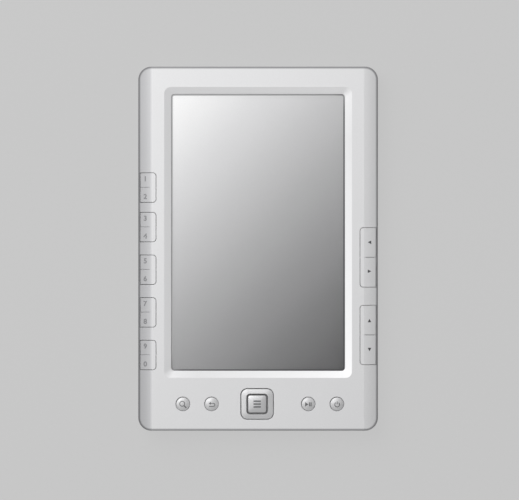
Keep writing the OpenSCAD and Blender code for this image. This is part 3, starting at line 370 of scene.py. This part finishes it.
def edgeShape(mesh):
    # each edge's middle and angle, whether both its faces look up, and whether it is an upper rim:
    # there a face that looks up meets a wall that falls away below it
    loopEdge = arrayOf(mesh.loops, "edge_index", 1, np.int32)
    loopFace = np.repeat(np.arange(len(mesh.polygons)), arrayOf(mesh.polygons, "loop_total", 1, np.int32))
    a, b = loopFace[np.argsort(loopEdge, kind="stable")].reshape(-1, 2).T  # closed, so two faces an edge
    normal = arrayOf(mesh.polygons, "normal", 3)
    centre = arrayOf(mesh.polygons, "center", 3)
    middle = arrayOf(mesh.vertices, "co", 3)[arrayOf(mesh.edges, "vertices", 2, np.int32)].mean(1)
    angle = np.arccos(np.clip((normal[a] * normal[b]).sum(1), -1, 1))
    swap = normal[a, 2] < normal[b, 2]
    upper, lower = np.where(swap, b, a), np.where(swap, a, b)
    falls = ((centre[lower] - middle) * normal[upper]).sum(1) < 0
    rim = (normal[upper, 2] > facing["up"]) & (np.abs(normal[lower, 2]) < facing["wall"]) & falls
    return middle, angle, normal[lower, 2] > facing["up"], rim


# merge distance, the angle below which faces join, the angles above which edges stay sharp, rounds' steps
soft = dict(merge=1e-7, flat=math.radians(0.2), sharp=math.radians(25), fold=math.radians(6), segments=3)


def softCopy(node, paints, rims, folds=None, zone=None):
    # rims are (name, width, paint number, which), folds picks edges of the top that stay sharp
    mesh = nodes[node].data.copy()
    mesh.name = node + "_soft"
    bm = bmesh.new()
    bm.from_mesh(mesh)
    bmesh.ops.remove_doubles(bm, verts=bm.verts, dist=soft["merge"])
    bmesh.ops.dissolve_limit(bm, angle_limit=soft["flat"], verts=bm.verts, edges=bm.edges)
    bm.to_mesh(mesh)
    bm.free()
    middle, angle, bothUp, rim = edgeShape(mesh)
    sharp = angle > soft["sharp"]
    if folds:
        sharp |= bothUp & folds(middle, angle)
    mesh.shade_smooth()
    mesh.edges.foreach_set("use_edge_sharp", sharp)
    mesh.materials.clear()
    for paint in paints:
        mesh.materials.append(paint)
    if zone:
        mesh.polygons.foreach_set("material_index", zone(mesh).astype(np.int32))
    piece = addPiece(node + "_soft", mesh, bodyOf[node])
    for name, width, paint, which in rims:
        weight = (rim & which(middle)).astype(np.float32)
        mesh.attributes.new(name, "FLOAT", "EDGE").data.foreach_set("value", weight)
        bevel = piece.modifiers.new(name, "BEVEL")
        bevel.limit_method = "WEIGHT"
        bevel.edge_weight = name
        bevel.width = width
        bevel.segments = soft["segments"]
        bevel.use_clamp_overlap = False
        bevel.material = paint
        bevel.loop_slide = False
        bevel.harden_normals = True
    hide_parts(node)


rimWidth = dict(outline=0.2 * mm, opening=0.16 * mm, key=0.16 * mm, button=0.2 * mm,
                ring=0.25 * mm, hole=0.3 * mm)
near = dict(outline=0.1 * mm, hole=0.05 * mm, groove=0.1 * mm, crease=0.05 * mm)   # how near counts as on it


def onOutline(middle):
    # true on the body's outline, a rectangle with round corners
    inner = np.abs(middle[:, :2]) - (np.array(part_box("front_cover")[1])[:2] - front["corner"])
    reach = np.where((inner > 0).all(1), np.hypot(*np.maximum(inner, 0).T), inner.max(1))
    return front["corner"] - reach < near["outline"]


def onRingHole(middle):
    # true on the ring's own opening, which is just outside the middle key
    low, high = (np.array(corner)[:2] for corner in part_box("menu_key"))
    return (np.abs(middle[:, :2] - (low + high) / 2) < (high - low) / 2 + near["hole"]).all(1)


def everywhere(middle):
    # true on every edge
    return np.ones(len(middle), bool)


def displaySlope(mesh):
    # paint 1, the painted light and shade, on the faces that slope down to the display
    normal, centre = arrayOf(mesh.polygons, "normal", 3), arrayOf(mesh.polygons, "center", 3)
    reach = np.array(front["windowHalf"]) + front["bevelWidth"]
    inside = (np.abs(centre[:, :2] - (0, front["windowY"])) < reach).all(1)
    return inside & (normal[:, 2] > facing["up"]) & (normal[:, 2] < facing["level"])


def grooveFloor(mesh):
    # paint 1, a painted shade, on the floor of a long key's dividing groove, facing up a groove's depth
    # below the cap
    middle = arrayOf(mesh.polygons, "center", 3)
    normal = arrayOf(mesh.polygons, "normal", 3)
    below = frontHeight(middle[:, 0], middle[:, 1]) + front["keyProud"] - middle[:, 2]
    return (normal[:, 2] > facing["floor"]) & (np.abs(below - front["grooveDepth"]) < near["groove"])


def onCrease(middle, angle=None):
    # true along the crease, at any angle
    return np.abs(np.abs(middle[:, 0]) - front["creaseX"]) < near["crease"]


# the slope down to the display takes the painted light and shade
softCopy("front_cover", [bodyPaint, slopeLightShadePaint],
         [("openings", rimWidth["opening"], 0, lambda m: ~onOutline(m)),
          ("outline", rimWidth["outline"], 0, onOutline)],
         folds=lambda m, angle: angle > soft["fold"], zone=displaySlope)
softCopy("back_cover", [backPaint], [])
keyRim = [("rim", rimWidth["key"], 0, lambda m: ~onCrease(m))]
for i in range(1, 6):
    softCopy("number_key_%d" % i, [bodyPaint], keyRim, folds=onCrease)
# the long keys' groove floors take a painted shade
for node in ("page_key", "scroll_key"):
    softCopy(node, [bodyPaint, grooveShadePaint], keyRim, folds=onCrease, zone=grooveFloor)
# the buttons' rims take a painted shade
for node in ("search_button", "back_button", "play_button", "power_button"):
    softCopy(node, [buttonPaint, rimShadePaint], [("rim", rimWidth["button"], 1, everywhere)])
# the ring's outer rim and its opening take painted shade, darkest round the middle key
softCopy("nav_ring", [ringPaint, ringRimShadePaint, frameShadePaint],
         [("outside", rimWidth["ring"], 1, lambda m: ~onRingHole(m)),
          ("hole", rimWidth["hole"], 2, onRingHole)])


def roundedLoop(halfX, halfY, r, count=16):
    # four quarter arcs joined by the straight sides, as a closed loop
    a = (np.linspace(0, 1, count) + np.arange(4)[:, None]) * np.pi / 2
    sideX, sideY = np.array([(1, 1), (-1, 1), (-1, -1), (1, -1)]).T[:, :, None]
    x, y = sideX * (halfX - r) + r * np.cos(a), sideY * (halfY - r) + r * np.sin(a)
    return np.stack([x, y], 2).reshape(-1, 2)


cap = dict(flange=0.6 * mm, flangeDeep=0.4 * mm, corner=2.1 * mm, edge=0.6 * mm,
           ball=32 * mm, sink=0.03 * mm, edgeSteps=8, topSteps=10, last=0.03, sharp=math.radians(35))


def domedCap(node, spec, paints):
    # loops of the outline, one for each step of a profile: up the flange, in to the wall, up, over the
    # round edge, then shrinking to the middle; the top loops lie on a ball, lowered round the edge
    low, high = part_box(node)
    halfX, halfY = (high.x - low.x) / 2, (high.y - low.y) / 2
    turn = np.linspace(0, np.pi / 2, spec["edgeSteps"])
    foot = [0, 0, spec["flange"]]
    inset = np.concatenate([foot, spec["flange"] + spec["edge"] * (1 - np.cos(turn))])
    fall = spec["edge"] * (1 - np.sin(turn))
    loops = [roundedLoop(halfX - d, halfY - d, spec["corner"] - d) for d in inset]
    loops += [loops[-1] * share for share in np.linspace(1, spec["last"], spec["topSteps"])[1:]]
    flat = np.array(loops)
    top = high.z - spec["sink"] - spec["ball"] + np.sqrt(spec["ball"] ** 2 - (flat ** 2).sum(2))
    first, past = len(foot), len(inset)   # loops of the round edge
    top[first:past] -= fall[:, None]
    top[:first] = np.array([low.z, low.z + spec["flangeDeep"], low.z + spec["flangeDeep"]])[:, None]
    rows, n = top.shape
    points = np.concatenate([flat + middleOf(node)[:2], top[..., None]], 2).reshape(-1, 3)
    i = np.arange(rows - 1)[:, None] * n
    j, k = np.arange(n), (np.arange(n) + 1) % n
    quads = np.stack([i + j, i + k, i + n + k, i + n + j], -1).reshape(-1, 4).tolist()
    mesh = bpy.data.meshes.new(node + "_cap")
    ends = [list(range(n))[::-1], list(range((rows - 1) * n, rows * n))]
    mesh.from_pydata(points.tolist(), [], quads + ends)
    row = np.arange(len(mesh.polygons)) // n
    mesh.shade_smooth()
    mesh.set_sharp_from_angle(angle=spec["sharp"])
    for paint in paints:
        mesh.materials.append(paint)
    # the wall and round edge take paint 1, a painted shade round the middle key
    wall = (row >= first - 1) & (row < past - 1)
    mesh.polygons.foreach_set("material_index", wall.astype(np.int32))
    piece = addPiece(node + "_cap", mesh, bodyOf[node])
    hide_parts(node)


domedCap("menu_key", cap, [menuPaint, frameShadePaint])
print("covers and keys softened")


# prints: flat shapes of ink, in millimetres, carried to their place on a surface
stroke = dict(lanes=7, lineSteps=9, arcSteps=33, tip=0.01, letterSteps=6, bold=0.03)


def ribbon(points, width):
    # the path's points pushed along its normal by shares of the width, one for each lane from side to side
    lanes = stroke["lanes"]
    p = np.asarray(points, float)
    run = np.gradient(p, axis=0)
    side = np.stack([-run[:, 1], run[:, 0]], 1) / np.linalg.norm(run, axis=1)[:, None]
    push = np.broadcast_to(np.asarray(width, float), len(p))[:, None] * np.linspace(-0.5, 0.5, lanes)
    grid = p[:, None] + side[:, None] * push[..., None]
    i = np.arange(len(p) - 1)[:, None] * lanes + np.arange(lanes - 1)
    return grid.reshape(-1, 2), np.stack([i, i + lanes, i + lanes + 1, i + 1], -1).reshape(-1, 4)


def line(x0, y0, x1, y1):
    # points evenly along a straight path
    return np.linspace((x0, y0), (x1, y1), stroke["lineSteps"])


def arc(x, y, r, start, stop):
    # points evenly along a circle's arc, in degrees
    a = np.radians(np.linspace(start, stop, stroke["arcSteps"]))
    return np.stack([x + r * np.cos(a), y + r * np.sin(a)], 1)


def wedge(x0, y0, x1, y1, width):
    # filled triangle that narrows to its tip
    return line(x0, y0, x1, y1), np.linspace(width, stroke["tip"], stroke["lineSteps"])


def lettering(text, size):
    # the letters as flat triangles, centred on their own box, of that height
    curve = bpy.data.curves.new("lettering", "FONT")
    curve.body = text
    curve.offset = stroke["bold"]
    curve.resolution_u = stroke["letterSteps"]
    holder = bpy.data.objects.new("lettering", curve)
    scene.collection.objects.link(holder)
    bpy.context.view_layer.update()
    mesh = holder.to_mesh()
    flat = arrayOf(mesh.vertices, "co", 3)[:, :2]
    mesh.calc_loop_triangles()
    triangles = arrayOf(mesh.loop_triangles, "vertices", 3, np.int32)
    holder.to_mesh_clear()
    bpy.data.objects.remove(holder)
    bpy.data.curves.remove(curve)
    return (flat - (flat.max(0) + flat.min(0)) / 2) * size / np.ptp(flat[:, 1]), triangles


inkDepth = 0.015 * mm   # how far a print stands off its surface


def inkPiece(name, shapes, lay, body, paint):
    # the shapes joined into one mesh, laid on their surface
    starts = np.cumsum([0] + [len(flat) for flat, faces in shapes])
    flat = np.concatenate([flat for flat, faces in shapes]) * mm
    faces = [face for (_, some), start in zip(shapes, starts) for face in (some + start).tolist()]
    mesh = bpy.data.meshes.new(name)
    mesh.from_pydata(lay(flat).tolist(), [], faces)
    mesh.materials.append(paint)
    addPiece(name, mesh, body)


def onFront(x0, y0, height):
    # each point raised to the surface under it
    def lay(flat):
        x, y = flat[:, 0] + x0, flat[:, 1] + y0
        return np.column_stack([x, y, height(x, y) + inkDepth])
    return lay


def onBottomEdge(x0, z0):
    # upright on the end wall, read from below the device
    def lay(flat):
        y = np.full(len(flat), front["bottom"] - inkDepth)
        return np.column_stack([flat[:, 0] + x0, y, flat[:, 1] + z0])
    return lay


def keyHeight(x, y):
    # a side key's cap stands a little above the front's own surface
    return frontHeight(x, y) + front["keyProud"]


numerals = dict(size=2.9, x=-61.4 * mm, apart=4.85 * mm)
for i in range(5):
    node = "number_key_%d" % (i + 1)
    for digit, side in ((2 * i + 1, 1), ((2 * i + 2) % 10, -1)):
        lay = onFront(numerals["x"], middleOf(node)[1] + side * numerals["apart"], keyHeight)
        inkPiece("numeral_%d" % digit, [lettering(str(digit), numerals["size"])], lay, node, paleInk)

marks = dict(x=60.6 * mm, half=0.95)
s = marks["half"]
for name, node, up, shape in (
    ("mark_left", "page_key", 8.25 * mm, wedge(s, 0, -s, 0, 2 * s)),
    ("mark_right", "page_key", -7.5 * mm, wedge(-s, 0, s, 0, 2 * s)),
    ("mark_up", "scroll_key", 7.9 * mm, wedge(0, -s, 0, s, 2 * s)),
    ("mark_down", "scroll_key", -7.9 * mm, wedge(0, s, 0, -s, 2 * s)),
):
    lay = onFront(marks["x"], middleOf(node)[1] + up, keyHeight)
    inkPiece(name, [ribbon(*shape)], lay, node, darkInk)


def onDome(node, radius, sink, shift):
    # ball of that radius whose top is the node's top, or a little under it
    x0, y0, _ = middleOf(node)
    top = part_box(node)[1].z

    def height(x, y):
        return top - sink - radius + np.sqrt(radius ** 2 - (x - x0) ** 2 - (y - y0) ** 2)
    return onFront(x0 + shift[0] * mm, y0 + shift[1] * mm, height)


icons = dict(
    search_button=[(arc(-0.5, 0.5, 1.35, 0, 360), 0.42), (line(0.5, -0.5, 1.75, -1.75), 0.6)],
    back_button=[(line(-0.7, 0.75, 0.8, 0.75), 0.4), (arc(0.8, -0.1, 0.85, 90, -90), 0.4),
                 (line(0.8, -0.95, -1.5, -0.95), 0.4), wedge(-0.5, 0.75, -1.7, 0.75, 1.6)],
    play_button=[wedge(-1.85, 0.2, -0.05, 0.2, 2.5), (line(0.55, -0.85, 0.55, 1.25), 0.55),
                 (line(1.4, -0.85, 1.4, 1.25), 0.55)],
    power_button=[(arc(0, 0.05, 1.3, 125, 415), 0.42), (line(0, 0.3, 0, 1.75), 0.42)],
    menu_key=[(line(-2.0, y, 2.0, y), 0.8) for y in (1.55, 0, -1.55)],
)
button = dict(radius=3.7 * mm, rise=0.8 * mm, shift=(0.1, -0.35))   # dome, and its sign's shift in mm
# ball through the dome's rim and its top
button["ball"] = (button["radius"] ** 2 + button["rise"] ** 2) / (2 * button["rise"])
for node, shapes in icons.items():
    if node == "menu_key":
        lay = onDome(node, cap["ball"], cap["sink"], (0, 0))
    else:
        lay = onDome(node, button["ball"], 0, button["shift"])
    inkPiece("icon_" + node, [ribbon(*shape) for shape in shapes], lay, node, greyInk)

switchWords = dict(size=1.4, places=dict(ON=34.2 * mm, OFF=51.7 * mm))   # places across, beside the switch
for word, x in switchWords["places"].items():
    lay = onBottomEdge(x, middleOf("switch_knob")[2])
    inkPiece("word_" + word, [lettering(word, switchWords["size"])], lay, "housing", greyInk)


def screenBorder(spec):
    # flat ring between the opening's outline and the same outline drawn in
    halfX, halfY = front["windowHalf"]
    loops = [roundedLoop(halfX - d, halfY - d, max(front["windowCorner"] - d, spec["least"]))
             for d in (-spec["under"], spec["width"])]
    n = len(loops[0])
    i = np.arange(n)
    quads = np.stack([i, (i + 1) % n, (i + 1) % n + n, i + n], 1)
    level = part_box("display_window")[1].z
    lay = onFront(0, front["windowY"], lambda x, y: np.full(len(x), level))
    inkPiece("screen_border", [(np.concatenate(loops) / mm, quads)], lay, "housing", borderInk(spec))


screenBorder(borderSpec)
print("prints laid on the keys, the display and the bottom edge")


# floor, light and camera
stage = dict(tone="#C7C7C7", size=6.0, level=-0.2 * mm, rough=0.9, grain=2 * mm, fibre=0.004,
             glow=0.93, ambient=0.30)


def seenDirectly(tree):
    # one for what the camera sees, itself or in a reflection or through the panel
    path = addNode(tree, "ShaderNodeLightPath")
    either = addNode(tree, "ShaderNodeMath", {"operation": "MAXIMUM"},
                     {0: path.outputs["Is Camera Ray"], 1: path.outputs["Is Glossy Ray"]})
    return addNode(tree, "ShaderNodeMath", {"operation": "MAXIMUM"},
                   {0: either.outputs[0], 1: path.outputs["Is Transmission Ray"]}).outputs[0]


def paperSweep():
    # matt paper sheet: even grey with a faint fibre, mostly its own tone so that the shadow stays light
    mat, tree, shader = newMaterial("matt paper sweep", Roughness=stage["rough"])
    place = addNode(tree, "ShaderNodeTexCoord").outputs["Object"]
    fibre = mottle(tree, place, stage["grain"], detail=2.0, middle=1, reach=stage["fibre"])[1]
    colour = addNode(tree, "ShaderNodeMix", {**times, 6: linear(stage["tone"])}, {7: fibre}).outputs[2]
    feed(tree, shader, Base_Color=colour)
    share = addNode(tree, "ShaderNodeMath", {"operation": "MULTIPLY", 1: stage["glow"]},
                    {0: seenDirectly(tree)})
    glow = addNode(tree, "ShaderNodeEmission", None, {"Color": colour})
    mix = addNode(tree, "ShaderNodeMixShader", None,
                  {0: share.outputs[0], 1: shader.outputs[0], 2: glow.outputs[0]})
    tree.links.new(mix.outputs[0], tree.nodes["Material Output"].inputs["Surface"])
    return mat


corners = np.array([(-1, -1), (1, -1), (1, 1), (-1, 1)]) * stage["size"] / 2
floorMesh = bpy.data.meshes.new("floor")
floorMesh.from_pydata([(x, y, stage["level"]) for x, y in corners.tolist()], [], [(0, 1, 2, 3)])
floorMesh.materials.append(paperSweep())
floor = bpy.data.objects.new("floor", floorMesh)
scene.collection.objects.link(floor)

world = bpy.data.worlds.new("studio")
scene.world = world
world.use_nodes = True
sky = world.node_tree.nodes["Background"]
sky.inputs["Color"].default_value = linear(stage["tone"])
level = addNode(world.node_tree, "ShaderNodeMapRange", {"To Min": stage["ambient"], "To Max": 1.0},
                {"Value": seenDirectly(world.node_tree)})
world.node_tree.links.new(level.outputs["Result"], sky.inputs["Strength"])

lamps = dict(
    key=dict(place=(-0.5, 0.52, 0.74), size=1.2, watts=15.9),
    fill=dict(place=(0.35, -1.0, 0.40), size=0.8, watts=1.0),
)
for name, spec in lamps.items():
    lamp = bpy.data.lights.new(name, "AREA")
    lamp.shape = "DISK"
    lamp.size = spec["size"]
    lamp.energy = spec["watts"]
    holder = bpy.data.objects.new(name, lamp)
    scene.collection.objects.link(holder)
    holder.location = spec["place"]
    x, y, z = spec["place"]   # turned to face the origin
    holder.rotation_euler = (math.acos(z / math.hypot(x, y, z)), 0, math.atan2(-y, -x) - math.pi / 2)

view = dict(
    width=519, height=500,      # the image in pixels
    scale=0.545 * mm,           # a pixel at the body's outline
    centre=(258.1, 248.65),     # the body's middle in the image
    lens=200.0, sensor=36.0,
    level=8 * mm,               # height at which the scale holds
    far=20.0,                   # the camera's clip distance
)
camera = bpy.data.cameras.new("camera")
camera.lens = view["lens"]
camera.sensor_width = view["sensor"]
camera.clip_end = view["far"]
eye = bpy.data.objects.new("camera", camera)
scene.collection.objects.link(eye)
eye.location = ((view["width"] / 2 - view["centre"][0]) * view["scale"],
                (view["centre"][1] - view["height"] / 2) * view["scale"],
                view["level"] + view["lens"] / view["sensor"] * view["width"] * view["scale"])
scene.camera = eye
scene.view_settings.view_transform = "Standard"
print("stage set")
